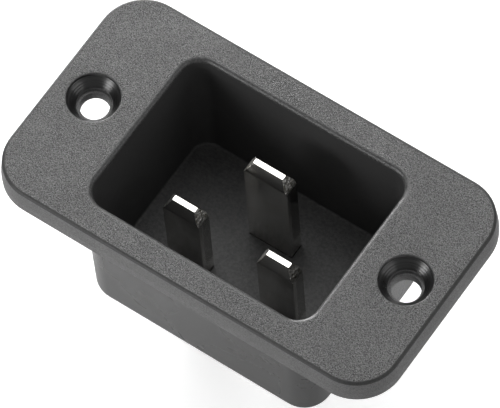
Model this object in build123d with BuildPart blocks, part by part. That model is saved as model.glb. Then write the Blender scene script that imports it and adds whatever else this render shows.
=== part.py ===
# High-current appliance inlet for screw mounting in a panel: one moulded housing, whose flange
# lies on the panel's front, with three chamfered blades in its cavity and push-on tabs behind.
# Origin: midway between the two screw holes, on the flange face that meets the panel.
# +X along the flange towards the neutral blade, +Y towards the earth blade, +Z out of the cavity.
import os
from typing import NamedTuple

from build123d import *

# Cavity that the connector goes into, measured at the flange's front
cavity_length = 30.3
cavity_width = 22.0
cavity_depth = 19.3
cavity_corner_radius = 2.5
cavity_draft = 0.9
cavity_mouth_radius = 0.75
cavity_floor_radius = 0.3

# Body behind the panel: thin walls round the cavity and a thicker wall at its end
body_side_wall = 1.1
body_end_wall = 2.6
body_corner_radius = 3.6
body_draft = 0.5
body_end_radius = 1.0

# Screw holes: a short straight rim, a cone for the screw's head, a collar and the hole itself
screw_from_body = 5.25
screw_head_diameter = 6.3
screw_head_rim_depth = 0.5
screw_cone_angle = 90.0
screw_collar_diameter = 4.2
screw_collar_depth = 2.1
screw_hole_diameter = 3.5

# Flange: the land is the upright band next to the panel, and the sides lean in above it
flange_past_screw = 5.3
flange_past_body = 2.9
flange_thickness = 3.4
flange_corner_radius = 5.7
flange_land_height = 1.3
flange_side_draft = 7.0
flange_edge_radius = 0.4

# Blades: line and neutral share a row, and earth stands behind it, wider and longer
blade_thickness = 2.0
line_neutral_spacing = 13.0
earth_offset = 7.8
live_row_y = -3.65
live_blade_width = 5.0
live_blade_length = 14.5
earth_blade_width = 6.0
earth_blade_length = 17.3

# Blade tips: long chamfers on the narrow sides, short ones on the wide faces
tip_side_inset = 0.95
tip_side_length = 1.9
tip_face_inset = 0.66
tip_face_length = 1.3
blade_edge_radius = 0.25

# Shoulders that seat the contacts in the housing's end wall, and the tabs behind them
shoulder_overhang = 0.9
shoulder_length = 1.2
tab_width = 6.3
tab_thickness = 0.8
tab_length = 8.0
tab_neck_length = 0.8
tab_corner_chamfer = 1.0
tab_edge_bevel = 0.25
tab_hole_diameter = 1.65
tab_hole_from_end = 4.0
contact_clearance = 0.1

# Sizes and levels that follow from the ones above
body_length = cavity_length + 2 * body_side_wall
body_width = cavity_width + 2 * body_side_wall
screw_spacing = body_length + 2 * screw_from_body
flange_length = screw_spacing + 2 * flange_past_screw
flange_width = body_width + 2 * flange_past_body
cavity_floor = flange_thickness - cavity_depth
body_end = cavity_floor - body_end_wall
shoulder_seat = body_end + shoulder_length
tab_end = body_end - tab_length


class Contact(NamedTuple):
    """Place and blade size of one contact."""

    label: str
    centre_x: float
    centre_y: float
    blade_width: float
    blade_length: float


contacts = [
    Contact("line_contact", -line_neutral_spacing / 2, live_row_y, live_blade_width, live_blade_length),
    Contact("neutral_contact", line_neutral_spacing / 2, live_row_y, live_blade_width, live_blade_length),
    Contact("earth_contact", 0.0, live_row_y + earth_offset, earth_blade_width, earth_blade_length),
]

os.makedirs("parts", exist_ok=True)

# Housing: flange, body and cavity in one moulding
with BuildPart() as housing:
    # Flange land and the leaning sides above it
    with BuildSketch(Plane.XY):
        RectangleRounded(flange_length, flange_width, flange_corner_radius)
    extrude(amount=flange_land_height)
    with BuildSketch(Plane.XY.offset(flange_land_height)):
        RectangleRounded(flange_length, flange_width, flange_corner_radius)
    extrude(amount=flange_thickness - flange_land_height, taper=flange_side_draft)
    flange_face = housing.faces().sort_by(Axis.Z)[-1]
    fillet(flange_face.outer_wire().edges(), flange_edge_radius)

    # Body behind the panel, narrower towards its closed end
    with BuildSketch(Plane.XY):
        RectangleRounded(body_length, body_width, body_corner_radius)
    extrude(amount=body_end, taper=body_draft)
    end_face = housing.faces().sort_by(Axis.Z)[0]
    fillet(end_face.outer_wire().edges(), body_end_radius)

    # Cavity, narrower towards its floor
    with BuildSketch(Plane.XY.offset(flange_thickness)):
        RectangleRounded(cavity_length, cavity_width, cavity_corner_radius)
    extrude(amount=-cavity_depth, taper=cavity_draft, mode=Mode.SUBTRACT)
    flange_face = housing.faces().sort_by(Axis.Z)[-1]
    fillet(flange_face.inner_wires()[0].edges(), cavity_mouth_radius)
    floor_face = housing.faces().sort_by_distance((0, 0, cavity_floor))[0]
    fillet(floor_face.outer_wire().edges(), cavity_floor_radius)

    # Screw holes at both ends of the flange
    with Locations(Plane.XY.offset(flange_thickness)):
        with GridLocations(screw_spacing, 0, 2, 1):
            Hole(screw_head_diameter / 2, depth=screw_head_rim_depth)
            Hole(screw_collar_diameter / 2, depth=screw_collar_depth)
    with Locations(Plane.XY.offset(flange_thickness - screw_head_rim_depth)):
        with GridLocations(screw_spacing, 0, 2, 1):
            CounterSinkHole(
                radius=screw_hole_diameter / 2,
                counter_sink_radius=screw_head_diameter / 2,
                depth=flange_thickness,
                counter_sink_angle=screw_cone_angle,
            )

    # Slots for the blades, and pockets for the shoulders behind them
    with BuildSketch(Plane.XY.offset(body_end)):
        for contact in contacts:
            with Locations((contact.centre_x, contact.centre_y)):
                Rectangle(
                    contact.blade_width + 2 * contact_clearance,
                    blade_thickness + 2 * contact_clearance,
                )
    extrude(amount=cavity_floor - body_end, mode=Mode.SUBTRACT)
    with BuildSketch(Plane.XY.offset(body_end)):
        for contact in contacts:
            with Locations((contact.centre_x, contact.centre_y)):
                Rectangle(
                    contact.blade_width + 2 * (shoulder_overhang + contact_clearance),
                    blade_thickness + 2 * contact_clearance,
                )
    extrude(amount=shoulder_length, mode=Mode.SUBTRACT)
housing.part.label = "housing"
export_step(housing.part, "parts/housing.step")

# Contacts: each is the bar that its front view and its side view have in common
for contact in contacts:
    tip = cavity_floor + contact.blade_length
    half_width = contact.blade_width / 2
    half_thickness = blade_thickness / 2
    half_tab = tab_thickness / 2
    centre = (contact.centre_x, contact.centre_y, 0)
    with BuildPart() as metal:
        with BuildSketch(Plane(origin=centre, x_dir=(1, 0, 0), z_dir=(0, -1, 0))):
            with BuildLine():
                Polyline(
                    (0, tip),
                    (half_width - tip_side_inset, tip),
                    (half_width, tip - tip_side_length),
                    (half_width, shoulder_seat),
                    (half_width + shoulder_overhang, shoulder_seat),
                    (half_width + shoulder_overhang, body_end),
                    (tab_width / 2, body_end),
                    (tab_width / 2, tab_end + tab_corner_chamfer),
                    (tab_width / 2 - tab_corner_chamfer, tab_end),
                    (0, tab_end),
                    close=True,
                )
            make_face()
            mirror(about=Plane.YZ)
        extrude(amount=half_thickness, both=True)
        with BuildSketch(Plane(origin=centre, x_dir=(0, 1, 0), z_dir=(1, 0, 0))):
            with BuildLine():
                Polyline(
                    (0, tip),
                    (half_thickness - tip_face_inset, tip),
                    (half_thickness, tip - tip_face_length),
                    (half_thickness, body_end),
                    (half_tab, body_end - tab_neck_length),
                    (half_tab, tab_end + tab_edge_bevel),
                    (half_tab - tab_edge_bevel, tab_end),
                    (0, tab_end),
                    close=True,
                )
            make_face()
            mirror(about=Plane.YZ)
        extrude(amount=half_width + shoulder_overhang, both=True, mode=Mode.INTERSECT)
        upright_edges = metal.edges().filter_by(Axis.Z).sort_by(SortBy.LENGTH)
        fillet(upright_edges[-4:], blade_edge_radius)
        with BuildSketch(Plane(origin=centre, x_dir=(1, 0, 0), z_dir=(0, -1, 0))):
            with Locations((0, tab_end + tab_hole_from_end)):
                Circle(tab_hole_diameter / 2)
        extrude(amount=half_tab, both=True, mode=Mode.SUBTRACT)
    metal.part.label = contact.label
    export_step(metal.part, f"parts/{contact.label}.step")
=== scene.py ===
"""High-current appliance inlet for a panel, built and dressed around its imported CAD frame."""

import logging
import math
from dataclasses import dataclass
from enum import Enum

import bmesh
import bpy
from mathutils import Matrix, Vector


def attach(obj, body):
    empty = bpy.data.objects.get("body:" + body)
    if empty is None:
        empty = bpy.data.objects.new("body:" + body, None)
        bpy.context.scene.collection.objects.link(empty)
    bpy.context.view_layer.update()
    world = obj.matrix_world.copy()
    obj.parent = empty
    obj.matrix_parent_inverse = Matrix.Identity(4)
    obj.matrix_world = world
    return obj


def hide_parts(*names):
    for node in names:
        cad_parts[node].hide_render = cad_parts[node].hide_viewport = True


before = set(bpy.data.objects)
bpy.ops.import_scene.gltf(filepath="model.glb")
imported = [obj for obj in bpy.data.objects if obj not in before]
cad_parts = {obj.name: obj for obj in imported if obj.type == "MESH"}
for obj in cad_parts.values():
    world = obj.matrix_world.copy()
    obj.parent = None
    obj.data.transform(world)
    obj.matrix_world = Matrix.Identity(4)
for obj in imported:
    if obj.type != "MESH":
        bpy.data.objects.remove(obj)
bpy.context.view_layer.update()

LOG = logging.getLogger("inlet")
BODY = "root"
UP = Vector((0.0, 0.0, 1.0))
MM = 0.001

# Heights that more than one piece uses
FLANGE_FRONT = 3.4 * MM
CAVITY_FLOOR = -15.9 * MM
SHOULDER_SEAT = -17.3 * MM
BODY_END = -18.5 * MM
TAB_END = -26.5 * MM

# Line and neutral share a row, and earth stands behind it
LIVE_SPACING = 13.0 * MM
LIVE_ROW = -3.65 * MM
EARTH_OFFSET = 7.8 * MM

# Points closer than the first are one point, and heights closer than the second are one height
WELD_GAP = 1e-7
LEVEL_GAP = 1e-6

# Least part of a unit normal along an axis, for a face that looks mostly or squarely that way
MOSTLY = 0.5
SQUARELY = 0.99

# Edges steeper than the angle stay sharp, and wide faces lead the shading of the rest
SHARP_ANGLE = math.radians(40.0)
FACE_WEIGHT = 80


class Surface(Enum):
    """Housing finishes and painted shade and light, in the order of its material slots."""

    GRAINED = 0
    SMOOTH = 1
    CAVITY = 2
    CAVITY_FLOOR = 3
    EDGE = 4
    MOUTH = 5
    HOLE = 6
    FLANK = 7


class MetalSurface(Enum):
    """Finishes of a contact, in the order of its material slots."""

    PLATED = 0
    CUT = 1


class Slot(Enum):
    """Material slots of the record."""

    PLASTIC = "moulded_plastic"
    METAL = "plated_metal"


# ---------------------------------------------------------------- mesh tools


def flat_outline(
    bm: bmesh.types.BMesh,
    size: tuple[float, float],
    centre: tuple[float, float, float],
    radius: float = 0.0,
    segments: int = 1,
    faces_up: bool = True,
) -> bmesh.types.BMFace:
    """Make one flat face with the outline of a rounded rectangle.

    Args:
        bm: Mesh that the face is added to.
        size: Length and width.
        centre: Middle of the face.
        radius: Corner radius, or 0 for square corners.
        segments: Straight runs in each corner's arc.
        faces_up: True for a face that looks along +Z, False for -Z.

    Returns:
        The new face.
    """
    # The grid's size is half its side, so this is a square of side 1, stretched to the outline
    corners = bmesh.ops.create_grid(
        bm,
        x_segments=1,
        y_segments=1,
        size=0.5,
        matrix=Matrix.Translation(centre) @ Matrix.Diagonal((*size, 1.0, 1.0)),
    )["verts"]
    if radius > 0.0:
        corners = bmesh.ops.bevel(
            bm,
            geom=corners,
            offset=radius,
            offset_type="OFFSET",
            segments=segments,
            profile=0.5,
            affect="VERTICES",
            material=-1,
        )["verts"]
    face = corners[0].link_faces[0]
    if (face.normal.z > 0.0) != faces_up:
        face.normal_flip()
    return face


def flat_disc(
    bm: bmesh.types.BMesh, radius: float, centre: tuple[float, float, float], segments: int
) -> bmesh.types.BMFace:
    """Make one flat round face that looks along +Z.

    Args:
        bm: Mesh that the face is added to.
        radius: Radius of the disc.
        centre: Middle of the disc.
        segments: Straight runs round it.

    Returns:
        The new face.
    """
    rim = bmesh.ops.create_circle(
        bm, cap_ends=True, radius=radius, segments=segments, matrix=Matrix.Translation(centre)
    )["verts"]
    face = rim[0].link_faces[0]
    if face.normal.z < 0.0:
        face.normal_flip()
    return face


def carry(
    bm: bmesh.types.BMesh, cap: bmesh.types.BMFace, inward: float, along: float, surface: Surface
) -> list[bmesh.types.BMEdge]:
    """Carry a cap inwards and along its own normal, and leave a wall behind it.

    Args:
        bm: Mesh that holds the cap.
        cap: Face to carry; it stays the same face.
        inward: Distance that its outline shrinks by.
        along: Distance along its normal, negative into a recess.
        surface: Finish of the wall.

    Returns:
        The edges round the cap in its new place.
    """
    walls = bmesh.ops.inset_individual(
        bm, faces=[cap], thickness=inward, depth=along, use_even_offset=True
    )["faces"]
    for wall in walls:
        wall.material_index = surface.value
    return list(cap.edges)


def stretch(
    bm: bmesh.types.BMesh,
    cap: bmesh.types.BMFace,
    factors: tuple[float, float],
    axis: tuple[float, float],
) -> None:
    """Stretch a level cap away from an upright axis.

    Args:
        bm: Mesh that holds the cap.
        cap: Face to stretch.
        factors: Factors along X and Y.
        axis: Place of the axis in X and Y.
    """
    to_axis = Matrix.Translation((-axis[0], -axis[1], 0.0))
    bmesh.ops.scale(bm, vec=(*factors, 1.0), verts=cap.verts, space=to_axis)


def round_over(
    bm: bmesh.types.BMesh,
    ring: list[bmesh.types.BMEdge],
    radius: float,
    segments: int,
    surface: Surface | None = None,
) -> None:
    """Round a ring of edges.

    Args:
        bm: Mesh that holds the edges.
        ring: Edges to round.
        radius: Width taken off each side of an edge.
        segments: Faces across the rounding.
        surface: Finish of the rounding, where it has one of its own.
    """
    made = bmesh.ops.bevel(
        bm,
        geom=ring,
        offset=radius,
        offset_type="OFFSET",
        segments=segments,
        profile=0.5,
        affect="EDGES",
        clamp_overlap=True,
        material=-1,
    )
    if surface:
        for face in made["faces"]:
            face.material_index = surface.value


def open_cap(bm: bmesh.types.BMesh, level: float) -> None:
    """Take away the widest flat cap at a level, and leave its outline open.

    Args:
        bm: Mesh that holds the cap.
        level: Height of the cap.
    """
    caps = [f for f in bm.faces if all(abs(v.co.z - level) < LEVEL_GAP for v in f.verts)]
    widest = max(caps, key=lambda face: len(face.verts))
    bmesh.ops.delete(bm, geom=[widest], context="FACES_ONLY")


def fill_level(bm: bmesh.types.BMesh, level: float, facing: Vector, surface: Surface) -> None:
    """Fill the flat region between the open loops at one level.

    Args:
        bm: Mesh that holds the loops.
        level: Height of the region.
        facing: Direction that the region looks in.
        surface: Finish of the region.
    """
    rims = [
        edge
        for edge in bm.edges
        if edge.is_boundary and all(abs(vert.co.z - level) < LEVEL_GAP for vert in edge.verts)
    ]
    made = bmesh.ops.triangle_fill(
        bm, use_beauty=True, use_dissolve=False, edges=rims, normal=facing
    )
    for face in (item for item in made["geom"] if isinstance(item, bmesh.types.BMFace)):
        face.normal_update()
        if face.normal.dot(facing) < 0.0:
            face.normal_flip()
        face.material_index = surface.value


def finish_piece(
    bm: bmesh.types.BMesh, name: str, materials: list[bpy.types.Material]
) -> bpy.types.Object:
    """Turn a mesh into a finished piece that rides on the body and stands for its CAD node.

    Args:
        bm: The piece's mesh, which is freed.
        name: Name of the CAD node that the piece stands for.
        materials: Materials in slot order.

    Returns:
        The piece.
    """
    bmesh.ops.remove_doubles(bm, verts=bm.verts, dist=WELD_GAP)
    bmesh.ops.dissolve_degenerate(bm, dist=LEVEL_GAP, edges=bm.edges)
    open_edges = sum(not edge.is_manifold for edge in bm.edges)
    mesh = bpy.data.meshes.new(f"{name}_skin")
    bm.to_mesh(mesh)
    bm.free()
    mesh.shade_smooth()
    mesh.set_sharp_from_angle(angle=SHARP_ANGLE)
    for material in materials:
        mesh.materials.append(material)
    piece = bpy.data.objects.new(f"{name}_skin", mesh)
    bpy.context.scene.collection.objects.link(piece)
    even = piece.modifiers.new("Even shading", "WEIGHTED_NORMAL")
    even.keep_sharp = True
    even.weight = FACE_WEIGHT
    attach(piece, BODY)
    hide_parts(name)
    LOG.info("%s: %d faces, %d open edges", piece.name, len(mesh.polygons), open_edges)
    return piece


# ---------------------------------------------------------------- shader tools


def add_node(
    tree: bpy.types.NodeTree,
    kind: str,
    inputs: dict[str | int, float | tuple[float, ...]] | None = None,
    **options: str | bpy.types.NodeTree,
) -> bpy.types.Node:
    """Add a shader node and set it up.

    Args:
        tree: Tree that the node is added to.
        kind: Type of the node.
        inputs: Values of its inputs, by name or by number.
        options: Its own options, such as a Math node's operation.

    Returns:
        The node.
    """
    node = tree.nodes.new(kind)
    for option, choice in options.items():
        setattr(node, option, choice)
    for socket, value in (inputs or {}).items():
        node.inputs[socket].default_value = value
    return node


def new_group(name: str, inputs: dict[str, float], outputs: list[str]) -> bpy.types.NodeTree:
    """Start a shader node group.

    Args:
        name: Name of the group.
        inputs: Value inputs and their defaults; a Vector input is always added first.
        outputs: Names of the value outputs.

    Returns:
        The group, with its Group Input and Group Output nodes in place.
    """
    group = bpy.data.node_groups.new(name, "ShaderNodeTree")
    group.interface.new_socket("Vector", in_out="INPUT", socket_type="NodeSocketVector")
    for label, value in inputs.items():
        socket = group.interface.new_socket(label, in_out="INPUT", socket_type="NodeSocketFloat")
        socket.default_value = value
    for label in outputs:
        group.interface.new_socket(label, in_out="OUTPUT", socket_type="NodeSocketFloat")
    group.nodes.new("NodeGroupInput").name = "Inputs"
    group.nodes.new("NodeGroupOutput").name = "Outputs"
    return group


# ---------------------------------------------------------------- shared shading effects


@dataclass(frozen=True)
class SparkGrain:
    """Fine matt texture of a spark-eroded mould: grit and pits, a little patchy.

    Attributes:
        fineness: Scale of the grit and of the pits.
        patchiness: Part of the tone that follows wide patches in place of the grit.
        grit_detail: Detail of the grit.
        grit_roughness: Roughness of the grit.
        pit_smoothness: Smoothness of the pits.
        pit_share: Height of the pits against that of the grit.
        patch_scale: Scale of the patches.
        patch_detail: Detail of the patches.
    """

    fineness: float = 3000.0
    patchiness: float = 0.06
    grit_detail: float = 3.0
    grit_roughness: float = 0.7
    pit_smoothness: float = 0.6
    pit_share: float = 0.6
    patch_scale: float = 260.0
    patch_detail: float = 2.0

    def build(self) -> bpy.types.NodeTree:
        """Build the effect.

        Returns:
            Group that puts out the grain's height and a tone that follows it, about 0 to 1.
        """
        defaults = {"Fineness": self.fineness, "Patchiness": self.patchiness}
        group = new_group("spark_grain", defaults, ["Height", "Tone"])
        given, link = group.nodes["Inputs"].outputs, group.links.new
        grit = add_node(
            group,
            "ShaderNodeTexNoise",
            {"Detail": self.grit_detail, "Roughness": self.grit_roughness},
        )
        pits = add_node(
            group,
            "ShaderNodeTexVoronoi",
            {"Smoothness": self.pit_smoothness},
            feature="SMOOTH_F1",
        )
        wide = add_node(
            group,
            "ShaderNodeTexNoise",
            {"Scale": self.patch_scale, "Detail": self.patch_detail},
        )
        height = add_node(
            group, "ShaderNodeMath", {1: self.pit_share}, operation="MULTIPLY_ADD"
        )
        tone = add_node(group, "ShaderNodeMix")
        for texture in (grit, pits, wide):
            link(given["Vector"], texture.inputs["Vector"])
        for texture in (grit, pits):
            link(given["Fineness"], texture.inputs["Scale"])
        link(pits.outputs["Distance"], height.inputs[0])
        link(grit.outputs["Fac"], height.inputs[2])
        link(given["Patchiness"], tone.inputs["Factor"])
        link(grit.outputs["Fac"], tone.inputs["A"])
        link(wide.outputs["Fac"], tone.inputs["B"])
        link(height.outputs["Value"], group.nodes["Outputs"].inputs["Height"])
        link(tone.outputs["Result"], group.nodes["Outputs"].inputs["Tone"])
        return group


@dataclass(frozen=True)
class HandlingMarks:
    """Faint uneven gloss of a surface that has been handled.

    Attributes:
        spread: Scale of the marks; a small one makes them wide.
        cloud_detail: Detail of the cloud that they are cut from.
        cloud_distortion: Distortion of that cloud.
        clean_below: Value of the cloud up to which the surface is clean.
        marked_above: Value from which it is fully marked.
    """

    spread: float = 120.0
    cloud_detail: float = 4.0
    cloud_distortion: float = 0.6
    clean_below: float = 0.35
    marked_above: float = 0.68

    def build(self) -> bpy.types.NodeTree:
        """Build the effect.

        Returns:
            Group that puts out a soft mask, about 0 to 1.
        """
        group = new_group("handling_marks", {"Spread": self.spread}, ["Mask"])
        given, link = group.nodes["Inputs"].outputs, group.links.new
        cloud = add_node(
            group,
            "ShaderNodeTexNoise",
            {"Detail": self.cloud_detail, "Distortion": self.cloud_distortion},
        )
        soft = add_node(
            group,
            "ShaderNodeMapRange",
            {"From Min": self.clean_below, "From Max": self.marked_above},
            interpolation_type="SMOOTHSTEP",
        )
        link(given["Vector"], cloud.inputs["Vector"])
        link(given["Spread"], cloud.inputs["Scale"])
        link(cloud.outputs["Fac"], soft.inputs["Value"])
        link(soft.outputs["Result"], group.nodes["Outputs"].inputs["Mask"])
        return group


@dataclass(frozen=True)
class TurningLines:
    """Rings that a turned mould pin leaves in each of two holes.

    Attributes:
        reach: Distance of each hole's axis from the YZ plane.
        fineness: Scale of the rings.
        ring_detail: Detail of the rings.
    """

    reach: float
    fineness: float = 4200.0
    ring_detail: float = 2.0

    def build(self) -> bpy.types.NodeTree:
        """Build the effect.

        Returns:
            Group that puts out the rings' height, about 0 to 1.
        """
        group = new_group("turning_lines", {"Fineness": self.fineness}, ["Height"])
        given, link = group.nodes["Inputs"].outputs, group.links.new
        split = add_node(group, "ShaderNodeSeparateXYZ")
        mirrored = add_node(group, "ShaderNodeMath", operation="ABSOLUTE")
        shifted = add_node(group, "ShaderNodeMath", {1: self.reach}, operation="SUBTRACT")
        flat = add_node(group, "ShaderNodeCombineXYZ")
        radius = add_node(group, "ShaderNodeVectorMath", operation="LENGTH")
        rings = add_node(
            group, "ShaderNodeTexNoise", {"Detail": self.ring_detail}, noise_dimensions="1D"
        )
        link(given["Vector"], split.inputs["Vector"])
        link(split.outputs["X"], mirrored.inputs[0])
        link(mirrored.outputs["Value"], shifted.inputs[0])
        link(shifted.outputs["Value"], flat.inputs["X"])
        link(split.outputs["Y"], flat.inputs["Y"])
        link(flat.outputs["Vector"], radius.inputs[0])
        link(radius.outputs["Value"], rings.inputs["W"])
        link(given["Fineness"], rings.inputs["Scale"])
        link(rings.outputs["Fac"], group.nodes["Outputs"].inputs["Height"])
        return group


@dataclass(frozen=True)
class Effects:
    """Node groups that the finishes share."""

    grain: bpy.types.NodeTree
    marks: bpy.types.NodeTree
    turning: bpy.types.NodeTree


# ---------------------------------------------------------------- finishes


@dataclass(frozen=True, kw_only=True)
class Finish:
    """What every finish has: a name, a gloss that handling made uneven, and a relief.

    Attributes:
        name: Name of the material.
        roughness: Roughness where the surface is clean.
        mark_gloss: What the handling marks add to the roughness.
        mark_spread: Scale of the handling marks.
    """

    name: str
    roughness: float
    mark_gloss: float
    mark_spread: float = 120.0

    def start(self) -> tuple[bpy.types.Material, bpy.types.Node]:
        """Start the material.

        Returns:
            The material and its Principled BSDF.
        """
        made = bpy.data.materials.new(self.name)
        made.use_nodes = True
        return made, made.node_tree.nodes["Principled BSDF"]

    def gloss(
        self, skin: bpy.types.Node, effects: Effects, place: bpy.types.NodeSocket
    ) -> bpy.types.NodeSocket:
        """Make the roughness a little uneven.

        Args:
            skin: The material's Principled BSDF.
            effects: Node groups that the finishes share.
            place: The Object coordinates.

        Returns:
            The mask of the handling marks.
        """
        tree = skin.id_data
        marks = add_node(
            tree, "ShaderNodeGroup", {"Spread": self.mark_spread}, node_tree=effects.marks
        )
        uneven = add_node(
            tree,
            "ShaderNodeMapRange",
            {"To Min": self.roughness, "To Max": self.roughness + self.mark_gloss},
        )
        tree.links.new(place, marks.inputs["Vector"])
        tree.links.new(marks.outputs["Mask"], uneven.inputs["Value"])
        tree.links.new(uneven.outputs["Result"], skin.inputs["Roughness"])
        return marks.outputs["Mask"]

    def relief(self, skin: bpy.types.Node, height: bpy.types.NodeSocket, depth: float) -> None:
        """Give the surface a relief.

        Args:
            skin: The material's Principled BSDF.
            height: The relief's height, about 0 to 1.
            depth: Distance that a height of 1 stands for.
        """
        tree = skin.id_data
        bump = add_node(tree, "ShaderNodeBump", {"Distance": depth})
        tree.links.new(height, bump.inputs["Height"])
        tree.links.new(bump.outputs["Normal"], skin.inputs["Normal"])


@dataclass(frozen=True, kw_only=True)
class Plastic(Finish):
    """Black moulded plastic, with a grain or with the rings of a turned pin.

    Attributes:
        shade: Mean lightness.
        tone_spread: Part of the shade by which the grain goes darker and lighter.
        grain_fineness: Scale of the grain.
        grain_depth: Depth of the grain, or of the rings.
        reflectivity: Specular level, 0.5 for ordinary plastic.
        turned: True where the relief is that of the rings.
        tone_low: Tone of the grain at which it is darkest.
        tone_high: Tone of the grain at which it is lightest.
        cool_blue: Blue of the darkest colour against its red and green.
        warm_blue: Blue of the lightest colour against its red and green.
    """

    shade: float
    tone_spread: float
    grain_fineness: float
    grain_depth: float
    reflectivity: float = 0.5
    turned: bool = False
    tone_low: float = 0.36
    tone_high: float = 0.64
    cool_blue: float = 1.01
    warm_blue: float = 0.995

    def material(self, effects: Effects) -> bpy.types.Material:
        """Build the material.

        Args:
            effects: Node groups that the finishes share.

        Returns:
            The material.
        """
        made, skin = self.start()
        tree, link = made.node_tree, made.node_tree.links.new
        skin.inputs["Specular IOR Level"].default_value = self.reflectivity
        place = add_node(tree, "ShaderNodeTexCoord").outputs["Object"]
        grain = add_node(
            tree, "ShaderNodeGroup", {"Fineness": self.grain_fineness}, node_tree=effects.grain
        )
        tone = add_node(
            tree, "ShaderNodeMapRange", {"From Min": self.tone_low, "From Max": self.tone_high}
        )
        low = self.shade * (1.0 - self.tone_spread)
        high = self.shade * (1.0 + self.tone_spread)
        colour = add_node(
            tree,
            "ShaderNodeMix",
            {
                "A": (low, low, low * self.cool_blue, 1.0),
                "B": (high, high, high * self.warm_blue, 1.0),
            },
            data_type="RGBA",
        )
        link(place, grain.inputs["Vector"])
        link(grain.outputs["Tone"], tone.inputs["Value"])
        link(tone.outputs["Result"], colour.inputs["Factor"])
        link(colour.outputs["Result"], skin.inputs["Base Color"])
        self.gloss(skin, effects, place)
        height = grain.outputs["Height"]
        if self.turned:
            turning = add_node(tree, "ShaderNodeGroup", node_tree=effects.turning)
            link(place, turning.inputs["Vector"])
            height = turning.outputs["Height"]
        self.relief(skin, height, self.grain_depth)
        return made


@dataclass(frozen=True, kw_only=True)
class PlatedMetal(Finish):
    """Plated brass with the faint lines of rolled or of cut strip.

    Attributes:
        colour: Colour of the clean plating.
        stain: Colour where it is marked.
        line_fineness: Scale of the lines.
        line_stretch: Scale along the contact against that across it; a small one draws the
            lines out.
        line_depth: Depth of the lines.
        line_detail: Detail of the lines.
    """

    colour: tuple[float, float, float]
    stain: tuple[float, float, float]
    line_fineness: float
    line_stretch: float
    line_depth: float
    line_detail: float = 2.0

    def material(self, effects: Effects) -> bpy.types.Material:
        """Build the material.

        Args:
            effects: Node groups that the finishes share.

        Returns:
            The material.
        """
        made, skin = self.start()
        tree, link = made.node_tree, made.node_tree.links.new
        skin.inputs["Metallic"].default_value = 1.0
        place = add_node(tree, "ShaderNodeTexCoord").outputs["Object"]
        along = add_node(tree, "ShaderNodeMapping", {"Scale": (1.0, 1.0, self.line_stretch)})
        lines = add_node(
            tree, "ShaderNodeTexNoise", {"Scale": self.line_fineness, "Detail": self.line_detail}
        )
        colour = add_node(
            tree,
            "ShaderNodeMix",
            {"A": (*self.colour, 1.0), "B": (*self.stain, 1.0)},
            data_type="RGBA",
        )
        link(place, along.inputs["Vector"])
        link(along.outputs["Vector"], lines.inputs["Vector"])
        link(self.gloss(skin, effects, place), colour.inputs["Factor"])
        link(colour.outputs["Result"], skin.inputs["Base Color"])
        self.relief(skin, lines.outputs["Fac"], self.line_depth)
        return made


# GRAINED and SMOOTH are the plastic's own finishes; the rest are copies that paint shade and
# light
HOUSING_FINISHES_AND_PAINTED_SHADING = {
    Surface.GRAINED: Plastic(
        name="grained_plastic",
        shade=0.104,
        tone_spread=1.0,
        roughness=0.55,
        mark_gloss=0.08,
        grain_fineness=7000.0,
        grain_depth=0.1 * MM,
    ),
    Surface.SMOOTH: Plastic(
        name="smooth_plastic",
        shade=0.069,
        tone_spread=0.02,
        roughness=0.26,
        mark_gloss=0.05,
        grain_fineness=7000.0,
        grain_depth=0.0005 * MM,
    ),
    # Painted shade: the cavity's and slots' walls, made darker for the shade deep inside
    Surface.CAVITY: Plastic(
        name="cavity_plastic_painted_shade",
        shade=0.053,
        tone_spread=0.05,
        roughness=0.5,
        mark_gloss=0.1,
        grain_fineness=2600.0,
        grain_depth=0.003 * MM,
    ),
    # Painted shade: the cavity's floor, grained like the top but darker for its shade
    Surface.CAVITY_FLOOR: Plastic(
        name="cavity_floor_plastic_painted_shade",
        shade=0.078,
        tone_spread=0.25,
        roughness=0.5,
        mark_gloss=0.1,
        grain_fineness=2600.0,
        grain_depth=0.04 * MM,
    ),
    # Painted shade: darker plastic on the flange's rounded upper edge, for its dark line
    Surface.EDGE: Plastic(
        name="edge_plastic_painted_shade",
        shade=0.035,
        tone_spread=0.3,
        roughness=0.42,
        mark_gloss=0.08,
        grain_fineness=5500.0,
        grain_depth=0.02 * MM,
    ),
    # Painted shade: roundings into the cavity and screw holes, darker where they turn into shade
    Surface.MOUTH: Plastic(
        name="mouth_plastic_painted_shade",
        shade=0.065,
        tone_spread=0.5,
        roughness=0.26,
        mark_gloss=0.06,
        grain_fineness=5500.0,
        grain_depth=0.03 * MM,
    ),
    # Painted shade: near-black rims and cones of the screw holes, for their shade
    Surface.HOLE: Plastic(
        name="hole_plastic_painted_shade",
        shade=0.005,
        tone_spread=0.05,
        roughness=0.25,
        mark_gloss=0.04,
        grain_fineness=2600.0,
        grain_depth=0.08 * MM,
        reflectivity=1.0,
        turned=True,
    ),
    # Painted light: smoother flange sides and hole walls, lighter than the body's plastic
    Surface.FLANK: Plastic(
        name="flank_plastic_painted_light",
        shade=0.124,
        tone_spread=0.35,
        roughness=0.45,
        mark_gloss=0.08,
        grain_fineness=5500.0,
        grain_depth=0.04 * MM,
    ),
}

METAL_FINISHES = {
    MetalSurface.PLATED: PlatedMetal(
        name="plated_metal",
        colour=(0.80, 0.79, 0.765),
        stain=(0.74, 0.725, 0.69),
        roughness=0.16,
        mark_gloss=0.06,
        mark_spread=420.0,
        line_fineness=5200.0,
        line_stretch=0.02,
        line_depth=0.0015 * MM,
    ),
    MetalSurface.CUT: PlatedMetal(
        name="cut_metal",
        colour=(0.80, 0.79, 0.765),
        stain=(0.2, 0.19, 0.16),
        roughness=0.36,
        mark_gloss=0.2,
        mark_spread=2200.0,
        line_fineness=2600.0,
        line_stretch=1.0,
        line_depth=0.3 * MM,
    ),
}


# ---------------------------------------------------------------- the inlet


@dataclass(frozen=True)
class ContactPlace:
    """Where a contact stands, and the size of its blade."""

    centre: tuple[float, float]
    blade_width: float
    blade_length: float


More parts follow.
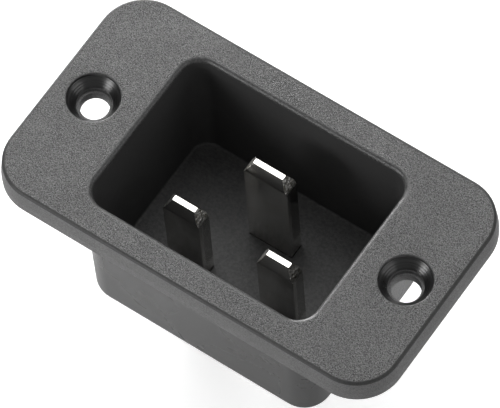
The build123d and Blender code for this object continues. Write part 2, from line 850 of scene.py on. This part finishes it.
class ContactKind(Enum):
    """The three contacts, named as their CAD nodes."""

    LINE = "line_contact"
    NEUTRAL = "neutral_contact"
    EARTH = "earth_contact"

    @property
    def place(self) -> ContactPlace:
        """Look up where the contact stands.

        Returns:
            Place and blade size of the contact.
        """
        if self is ContactKind.EARTH:
            return ContactPlace(
                centre=(0.0, LIVE_ROW + EARTH_OFFSET),
                blade_width=6.0 * MM,
                blade_length=17.3 * MM,
            )
        side = 1.0 if self is ContactKind.NEUTRAL else -1.0
        return ContactPlace(
            centre=(side * LIVE_SPACING / 2.0, LIVE_ROW),
            blade_width=5.0 * MM,
            blade_length=14.5 * MM,
        )


@dataclass
class Contact:
    """One contact: blade in the cavity, shoulder in the end wall and push-on tab behind."""

    kind: ContactKind

    # Blade, with long chamfers on the tip's narrow sides and short ones on its wide faces
    thickness: float = 2.0 * MM
    side_inset: float = 0.95 * MM
    side_length: float = 1.9 * MM
    face_inset: float = 0.66 * MM
    face_length: float = 1.3 * MM
    edge_radius: float = 0.25 * MM
    tip_edge_radius: float = 0.1 * MM
    edge_segments: int = 3

    # Least rise of an edge that is rounded as an upright corner
    least_climb: float = 0.1 * MM

    # Shoulder, and the tab behind it
    shoulder_overhang: float = 0.9 * MM
    tab_width: float = 6.3 * MM
    tab_thickness: float = 0.8 * MM
    tab_neck: float = 0.8 * MM
    tab_corner: float = 1.0 * MM
    tab_bevel: float = 0.25 * MM
    tab_hole_radius: float = 0.825 * MM
    tab_hole_from_end: float = 4.0 * MM
    tab_hole_segments: int = 32

    @property
    def tip(self) -> float:
        """Height of the blade's tip."""
        return CAVITY_FLOOR + self.kind.place.blade_length

    @property
    def tip_start(self) -> float:
        """Height at which the tip's chamfers start."""
        return self.tip - self.side_length

    def sections(self) -> list[tuple[float, float, float]]:
        """Work out the bar's cross-sections, from the tab's end to the tip.

        Returns:
            Width, thickness and height of each.
        """
        width = self.kind.place.blade_width
        wide = width + 2.0 * self.shoulder_overhang
        lead = 2.0 * self.side_inset * (self.side_length - self.face_length) / self.side_length
        end_width = self.tab_width - 2.0 * self.tab_corner
        end_thickness = self.tab_thickness - 2.0 * self.tab_bevel
        tip_width = width - 2.0 * self.side_inset
        tip_thickness = self.thickness - 2.0 * self.face_inset
        return [
            (end_width, end_thickness, TAB_END),
            (end_width + 2.0 * self.tab_bevel, self.tab_thickness, TAB_END + self.tab_bevel),
            (self.tab_width, self.tab_thickness, TAB_END + self.tab_corner),
            (self.tab_width, self.tab_thickness, BODY_END - self.tab_neck),
            (self.tab_width, self.thickness, BODY_END),
            (wide, self.thickness, BODY_END),
            (wide, self.thickness, SHOULDER_SEAT),
            (width, self.thickness, SHOULDER_SEAT),
            (width, self.thickness, self.tip_start),
            (width - lead, self.thickness, self.tip - self.face_length),
            (tip_width, tip_thickness, self.tip),
        ]

    def bar(self, bm: bmesh.types.BMesh) -> None:
        """Draw the bar up through its cross-sections.

        Args:
            bm: Mesh that the bar is added to.
        """
        centre = self.kind.place.centre
        sections = self.sections()
        width, thickness, height = sections[0]
        cap = flat_outline(bm, (width, thickness), (*centre, height), faces_up=False)
        for next_width, next_thickness, next_height in sections[1:]:
            grown = bmesh.ops.extrude_face_region(bm, geom=[cap])["geom"]
            # The extrusion leaves the old cap behind: the first closes the tab's end, the rest go
            if height > TAB_END:
                bmesh.ops.delete(bm, geom=[cap], context="FACES_ONLY")
            cap = next(item for item in grown if isinstance(item, bmesh.types.BMFace))
            stretch(bm, cap, (next_width / width, next_thickness / thickness), centre)
            bmesh.ops.translate(bm, vec=UP * (next_height - height), verts=cap.verts)
            width, thickness, height = next_width, next_thickness, next_height
        bmesh.ops.recalc_face_normals(bm, faces=bm.faces)

    def soften(self, bm: bmesh.types.BMesh) -> None:
        """Round the blade's upright corners, and take the sharpness off its tip.

        Args:
            bm: Mesh that holds the bar.
        """
        climbing = [
            edge
            for edge in bm.edges
            if abs(edge.verts[0].co.z - edge.verts[1].co.z) > self.least_climb
        ]
        for start, end, radius in (
            (self.tip_start, self.tip, self.tip_edge_radius),
            (SHOULDER_SEAT, self.tip_start, self.edge_radius),
        ):
            corners = [
                edge
                for edge in climbing
                if edge.is_valid
                and min(vert.co.z for vert in edge.verts) > start - LEVEL_GAP
                and max(vert.co.z for vert in edge.verts) < end + LEVEL_GAP
            ]
            round_over(bm, corners, radius, self.edge_segments)

    def mark_cut_faces(self, bm: bmesh.types.BMesh) -> None:
        """Give the chamfers on the tip's narrow sides the finish of cut metal.

        Args:
            bm: Mesh that holds the bar.
        """
        for face in bm.faces:
            face.normal_update()
            if face.calc_center_median().z > self.tip_start and abs(face.normal.x) > MOSTLY:
                face.material_index = MetalSurface.CUT.value

    def tab_hole(self, bm: bmesh.types.BMesh) -> None:
        """Pierce the tab's locking hole.

        Args:
            bm: Mesh that holds the bar.
        """
        centre_x, centre_y = self.kind.place.centre
        level = TAB_END + self.tab_hole_from_end
        turn = Matrix.Rotation(math.radians(90.0), 4, "X")
        rims = []
        for side in (-1.0, 1.0):
            flats = [
                face
                for face in bm.faces
                if face.normal.y * side > SQUARELY and face.calc_center_median().z < BODY_END
            ]
            flat = max(flats, key=lambda face: face.calc_area())
            middle = (centre_x, centre_y + side * self.tab_thickness / 2.0, level)
            hole = bmesh.ops.create_circle(
                bm,
                cap_ends=False,
                radius=self.tab_hole_radius,
                segments=self.tab_hole_segments,
                matrix=Matrix.Translation(middle) @ turn,
            )["verts"]
            rim = list(dict.fromkeys(edge for vert in hole for edge in vert.link_edges))
            outline = list(flat.edges)
            bmesh.ops.delete(bm, geom=[flat], context="FACES_ONLY")
            bmesh.ops.triangle_fill(
                bm,
                use_beauty=True,
                use_dissolve=False,
                edges=outline + rim,
                normal=(0.0, side, 0.0),
            )
            rims += rim
        bmesh.ops.bridge_loops(bm, edges=rims)
        bmesh.ops.recalc_face_normals(bm, faces=bm.faces)

    def build(self, materials: list[bpy.types.Material]) -> bpy.types.Object:
        """Build and dress the contact.

        Args:
            materials: Materials in the order of MetalSurface.

        Returns:
            The finished piece.
        """
        bm = bmesh.new()
        self.bar(bm)
        self.soften(bm)
        self.tab_hole(bm)
        self.mark_cut_faces(bm)
        return finish_piece(bm, self.kind.value, materials)


@dataclass
class Housing:
    """The one moulding: flange, body, cavity, screw holes and the contacts' slots."""

    # Flange: an upright land next to the panel, and sides that lean in above it
    flange: tuple[float, float] = (53.6 * MM, 30.0 * MM)
    flange_corner: float = 5.7 * MM
    flange_corner_segments: int = 16
    land_height: float = 1.3 * MM
    side_draft: float = math.radians(7.0)
    flange_edge: float = 0.34 * MM

    # Body behind the panel
    body: tuple[float, float] = (32.5 * MM, 24.2 * MM)
    body_corner: float = 3.6 * MM
    body_draft: float = math.radians(0.5)
    body_end_radius: float = 1.0 * MM
    root_radius: float = 0.15 * MM

    # Cavity that the connector goes into, measured at the flange's front
    cavity: tuple[float, float] = (30.3 * MM, 22.0 * MM)
    cavity_corner: float = 2.5 * MM
    cavity_depth: float = 19.3 * MM
    cavity_draft: float = math.radians(0.9)
    mouth_radius: float = 0.6 * MM
    floor_radius: float = 0.3 * MM
    floor_segments: int = 4

    # Faces round the corners of body and cavity, and across the edges that show most
    corner_segments: int = 14
    edge_segments: int = 6

    # Screw holes: a short straight rim, a cone for the screw's head, a collar and the hole
    screw_spacing: float = 43.0 * MM
    head_radius: float = 3.15 * MM
    head_rim: float = 0.5 * MM
    collar_radius: float = 2.1 * MM
    collar_depth: float = 2.1 * MM
    hole_radius: float = 1.75 * MM
    hole_segments: int = 72
    rim_radius: float = 0.15 * MM
    rim_segments: int = 3

    # Smallest rounding, for edges that only have to catch the light
    fine_radius: float = 0.08 * MM
    fine_segments: int = 2

    # Flat band that is made with each opening, and gap round a blade in its slot
    margin: float = 0.9 * MM
    slot_gap: float = 0.04 * MM

    @property
    def floor(self) -> float:
        """Height of the cavity's floor."""
        return FLANGE_FRONT - self.cavity_depth

    def with_margin(self, size: tuple[float, float]) -> tuple[float, float]:
        """Length and width of an outline with the margin added all round."""
        return (size[0] + 2.0 * self.margin, size[1] + 2.0 * self.margin)

    def flange_rim(self, bm: bmesh.types.BMesh) -> None:
        """Build the flange's sides and its rounded upper edge.

        Args:
            bm: Mesh that the sides are added to.
        """
        cap = flat_outline(
            bm,
            self.flange,
            (0.0, 0.0, 0.0),
            radius=self.flange_corner,
            segments=self.flange_corner_segments,
        )
        land = carry(bm, cap, 0.0, self.land_height, Surface.FLANK)
        rise = FLANGE_FRONT - self.land_height
        brink = carry(bm, cap, rise * math.tan(self.side_draft), rise, Surface.FLANK)
        round_over(bm, brink, self.flange_edge, self.edge_segments, Surface.EDGE)
        round_over(bm, land, self.fine_radius, self.fine_segments)
        open_cap(bm, FLANGE_FRONT)

    def body_shell(self, bm: bmesh.types.BMesh) -> None:
        """Build the body behind the flange, down to its rounded closed end.

        Args:
            bm: Mesh that the body is added to.
        """
        cap = flat_outline(
            bm,
            self.with_margin(self.body),
            (0.0, 0.0, 0.0),
            radius=self.body_corner + self.margin,
            segments=self.corner_segments,
            faces_up=False,
        )
        root = carry(bm, cap, self.margin, 0.0, Surface.SMOOTH)
        drop = -BODY_END
        end = carry(bm, cap, drop * math.tan(self.body_draft), drop, Surface.SMOOTH)
        round_over(bm, root, self.root_radius, self.fine_segments)
        round_over(bm, end, self.body_end_radius, self.edge_segments)
        open_cap(bm, BODY_END)

    def cavity_shell(self, bm: bmesh.types.BMesh) -> None:
        """Build the cavity's rounded mouth, its walls and the rounding at its floor.

        Args:
            bm: Mesh that the cavity is added to.
        """
        cap = flat_outline(
            bm,
            self.with_margin(self.cavity),
            (0.0, 0.0, FLANGE_FRONT),
            radius=self.cavity_corner + self.margin,
            segments=self.corner_segments,
        )
        mouth = carry(bm, cap, self.margin, 0.0, Surface.GRAINED)
        lean = self.cavity_depth * math.tan(self.cavity_draft)
        foot = carry(bm, cap, lean, -self.cavity_depth, Surface.CAVITY)
        round_over(bm, mouth, self.mouth_radius, self.edge_segments, Surface.MOUTH)
        round_over(bm, foot, self.floor_radius, self.floor_segments, Surface.CAVITY_FLOOR)
        open_cap(bm, self.floor)

    def screw_hole(self, bm: bmesh.types.BMesh, side: int) -> None:
        """Build one screw hole: rim, cone for the screw's head, collar and hole.

        Args:
            bm: Mesh that the hole is added to.
            side: -1 for the hole at -X, 1 for the hole at +X.
        """
        centre = (side * self.screw_spacing / 2.0, 0.0, FLANGE_FRONT)
        ledge = self.margin / 2.0
        cap = flat_disc(bm, self.head_radius + ledge, centre, self.hole_segments)
        mouth = carry(bm, cap, ledge, 0.0, Surface.GRAINED)
        carry(bm, cap, 0.0, -self.head_rim, Surface.HOLE)
        cone = self.head_radius - self.collar_radius
        collar = carry(bm, cap, cone, -cone, Surface.HOLE)
        carry(bm, cap, 0.0, cone + self.head_rim - self.collar_depth, Surface.FLANK)
        lip = carry(bm, cap, self.collar_radius - self.hole_radius, 0.0, Surface.FLANK)
        carry(bm, cap, 0.0, self.collar_depth - FLANGE_FRONT, Surface.FLANK)
        round_over(bm, mouth, self.rim_radius, self.rim_segments, Surface.MOUTH)
        for ring in (collar, lip):
            round_over(bm, ring, self.fine_radius, self.fine_segments)
        bmesh.ops.delete(bm, geom=[cap], context="FACES_ONLY")

    def slot(self, bm: bmesh.types.BMesh, kind: ContactKind) -> None:
        """Build the slot of one contact and the pocket of its shoulder.

        Args:
            bm: Mesh that the slot is added to.
            kind: The contact.
        """
        contact = Contact(kind)
        place = kind.place
        width = place.blade_width + 2.0 * self.slot_gap
        pocket = width + 2.0 * contact.shoulder_overhang
        depth = contact.thickness + 2.0 * self.slot_gap
        cap = flat_outline(bm, (width, depth), (*place.centre, self.floor))
        carry(bm, cap, 0.0, SHOULDER_SEAT - self.floor, Surface.CAVITY)
        carry(bm, cap, 0.0, 0.0, Surface.CAVITY)
        stretch(bm, cap, (pocket / width, 1.0), place.centre)
        carry(bm, cap, 0.0, BODY_END - SHOULDER_SEAT, Surface.CAVITY)
        bmesh.ops.delete(bm, geom=[cap], context="FACES_ONLY")

    def build(self, materials: list[bpy.types.Material]) -> bpy.types.Object:
        """Build and dress the housing.

        Args:
            materials: Materials in the order of Surface.

        Returns:
            The finished piece.
        """
        bm = bmesh.new()
        self.flange_rim(bm)
        self.body_shell(bm)
        self.cavity_shell(bm)
        for side in (-1, 1):
            self.screw_hole(bm, side)
        for kind in ContactKind:
            self.slot(bm, kind)
        fill_level(bm, FLANGE_FRONT, UP, Surface.GRAINED)
        fill_level(bm, 0.0, -UP, Surface.SMOOTH)
        fill_level(bm, self.floor, UP, Surface.CAVITY_FLOOR)
        fill_level(bm, BODY_END, -UP, Surface.SMOOTH)
        return finish_piece(bm, "housing", materials)


# ---------------------------------------------------------------- the studio


@dataclass(frozen=True)
class Softbox:
    """One square soft lamp that looks at the inlet.

    Attributes:
        name: Name of the lamp.
        direction: Direction from the inlet to the lamp.
        distance: Distance from the inlet.
        side: Side of the square.
        power: Power in watts.
        spread: Angle of its beam in degrees.
    """

    name: str
    direction: tuple[float, float, float]
    distance: float
    side: float
    power: float
    spread: float = 180.0

    def build(self, aim: Vector) -> None:
        """Set up the lamp.

        Args:
            aim: Point that the lamp looks at.
        """
        lamp = bpy.data.lights.new(self.name, "AREA")
        lamp.shape = "SQUARE"
        lamp.size = self.side
        lamp.energy = self.power
        lamp.spread = math.radians(self.spread)
        holder = bpy.data.objects.new(self.name, lamp)
        away = Vector(self.direction).normalized()
        holder.location = aim + away * self.distance
        holder.rotation_mode = "QUATERNION"
        holder.rotation_quaternion = away.to_track_quat("Z", "Y")
        bpy.context.scene.collection.objects.link(holder)


SOFTBOXES = (
    Softbox(
        name="key", direction=(-0.3, 0.42, 0.85), distance=0.21, side=0.16, power=0.225
    ),
    Softbox(
        name="front_left", direction=(-0.48, -0.82, 0.3), distance=0.28, side=0.1, power=0.26
    ),
    Softbox(
        name="front_low",
        direction=(-0.1, -0.99, -0.03),
        distance=0.11,
        side=0.03,
        power=0.003,
        spread=90.0,
    ),
    Softbox(name="right", direction=(0.93, 0.14, 0.33), distance=0.4, side=0.3, power=0.26),
    Softbox(
        name="rim",
        direction=(-0.74, 0.64, 0.24),
        distance=0.17,
        side=0.1,
        power=0.055,
        spread=60.0,
    ),
)


@dataclass(frozen=True)
class Viewpoint:
    """Camera at the photograph's angle, aimed past the middle of the flange's front.

    Attributes:
        azimuth: Angle round +Z, from -Y towards +X.
        elevation: Angle above the flange's plane.
        roll: Turn about the line of sight.
        distance: Distance from the flange's front.
        lens: Focal length in millimetres.
        sensor: Width of the sensor in millimetres.
        offset_right: Distance of the aimed point from the picture's middle, to the right.
        offset_up: The same, upwards.
        nearest: Nearest distance that shows.
        farthest: Farthest distance that shows.
    """

    azimuth: float = math.radians(39.067)
    elevation: float = math.radians(62.068)
    roll: float = math.radians(-5.277)
    distance: float = 0.660
    lens: float = 418.84
    sensor: float = 36.0
    offset_right: float = -0.000212
    offset_up: float = 0.001834
    nearest: float = 0.05
    farthest: float = 20.0

    def build(self, target: Vector) -> None:
        """Set up the scene's camera.

        Args:
            target: Middle of the flange's front.
        """
        level = Vector((math.cos(self.azimuth), math.sin(self.azimuth), 0.0))
        back = Vector(
            (
                math.sin(self.azimuth) * math.cos(self.elevation),
                -math.cos(self.azimuth) * math.cos(self.elevation),
                math.sin(self.elevation),
            )
        )
        upright = back.cross(level)
        right = level * math.cos(self.roll) + upright * math.sin(self.roll)
        top = upright * math.cos(self.roll) - level * math.sin(self.roll)
        lens = bpy.data.cameras.new("camera")
        lens.sensor_width = self.sensor
        lens.lens = self.lens
        lens.clip_start = self.nearest
        lens.clip_end = self.farthest
        camera = bpy.data.objects.new("camera", lens)
        spot = target + back * self.distance - right * self.offset_right - top * self.offset_up
        turn = Matrix((right, top, back)).transposed().to_4x4()
        camera.matrix_world = Matrix.Translation(spot) @ turn
        bpy.context.scene.collection.objects.link(camera)
        bpy.context.scene.camera = camera


@dataclass
class Studio:
    """Plain pale floor, soft lamps and camera.

    Attributes:
        aim_level: Height that lamps and camera look at.
        floor_level: Height of the floor.
        floor_side: Side of the floor.
        floor_colour: Lightness of the floor.
        floor_glow: Glow of the floor for the camera, which makes it white there.
        glossy_glow: Glow of the floor in reflections.
        ambient: Strength of the room's even light.
    """

    aim_level: float = FLANGE_FRONT
    floor_level: float = TAB_END
    floor_side: float = 6.0
    floor_colour: float = 0.8
    floor_glow: float = 0.6
    glossy_glow: float = 0.08
    ambient: float = 0.27

    def floor(self) -> None:
        """Lay the floor, which looks white to the camera and keeps the inlet's shadow."""
        bm = bmesh.new()
        bmesh.ops.create_grid(
            bm,
            x_segments=1,
            y_segments=1,
            size=self.floor_side / 2.0,
            matrix=Matrix.Translation((0.0, 0.0, self.floor_level)),
        )
        mesh = bpy.data.meshes.new("floor")
        bm.to_mesh(mesh)
        bm.free()
        floor = bpy.data.objects.new("floor", mesh)
        bpy.context.scene.collection.objects.link(floor)
        made = bpy.data.materials.new("studio_floor")
        made.use_nodes = True
        skin = made.node_tree.nodes["Principled BSDF"]
        grey = self.floor_colour
        skin.inputs["Base Color"].default_value = (grey, grey, grey, 1.0)
        skin.inputs["Roughness"].default_value = 1.0
        skin.inputs["Specular IOR Level"].default_value = 0.0
        skin.inputs["Emission Color"].default_value = (1.0, 1.0, 1.0, 1.0)
        glow = self.seen_directly(made.node_tree)
        made.node_tree.links.new(glow, skin.inputs["Emission Strength"])
        mesh.materials.append(made)

    def seen_directly(self, tree: bpy.types.NodeTree) -> bpy.types.NodeSocket:
        """Make the floor's glow, which only camera, glossy and transmission rays meet.

        Args:
            tree: Node tree of the floor's material.

        Returns:
            The socket that gives the glow's strength.
        """
        link = tree.links.new
        path = add_node(tree, "ShaderNodeLightPath")
        clear = add_node(tree, "ShaderNodeMath", {1: self.floor_glow}, operation="MULTIPLY")
        glossy = add_node(
            tree, "ShaderNodeMath", {1: self.glossy_glow}, operation="MULTIPLY_ADD"
        )
        total = add_node(
            tree, "ShaderNodeMath", {1: self.floor_glow}, operation="MULTIPLY_ADD"
        )
        link(path.outputs["Is Transmission Ray"], clear.inputs[0])
        link(path.outputs["Is Glossy Ray"], glossy.inputs[0])
        link(clear.outputs["Value"], glossy.inputs[2])
        link(path.outputs["Is Camera Ray"], total.inputs[0])
        link(glossy.outputs["Value"], total.inputs[2])
        return total.outputs["Value"]

    def sky(self) -> None:
        """Give the room an even grey light."""
        world = bpy.data.worlds.new("studio_room")
        world.use_nodes = True
        air = world.node_tree.nodes["Background"]
        air.inputs["Color"].default_value = (1.0, 1.0, 1.0, 1.0)
        air.inputs["Strength"].default_value = self.ambient
        bpy.context.scene.world = world

    def build(self) -> None:
        """Set up floor, light and camera."""
        aim = Vector((0.0, 0.0, self.aim_level))
        self.floor()
        self.sky()
        for softbox in SOFTBOXES:
            softbox.build(aim)
        Viewpoint().build(aim)
        bpy.context.scene.view_settings.view_transform = "Standard"
        LOG.info("studio: %d lamps", len(SOFTBOXES))


def main() -> None:
    logging.basicConfig(level=logging.INFO, format="%(name)s: %(message)s")
    housing = Housing()
    effects = Effects(
        grain=SparkGrain().build(),
        marks=HandlingMarks().build(),
        turning=TurningLines(housing.screw_spacing / 2.0).build(),
    )
    housing.build([HOUSING_FINISHES_AND_PAINTED_SHADING[surface].material(effects) for surface in Surface])
    metals = [METAL_FINISHES[surface].material(effects) for surface in MetalSurface]
    for kind in ContactKind:
        Contact(kind).build(metals)
    Studio().build()


if __name__ == "__main__":
    main()
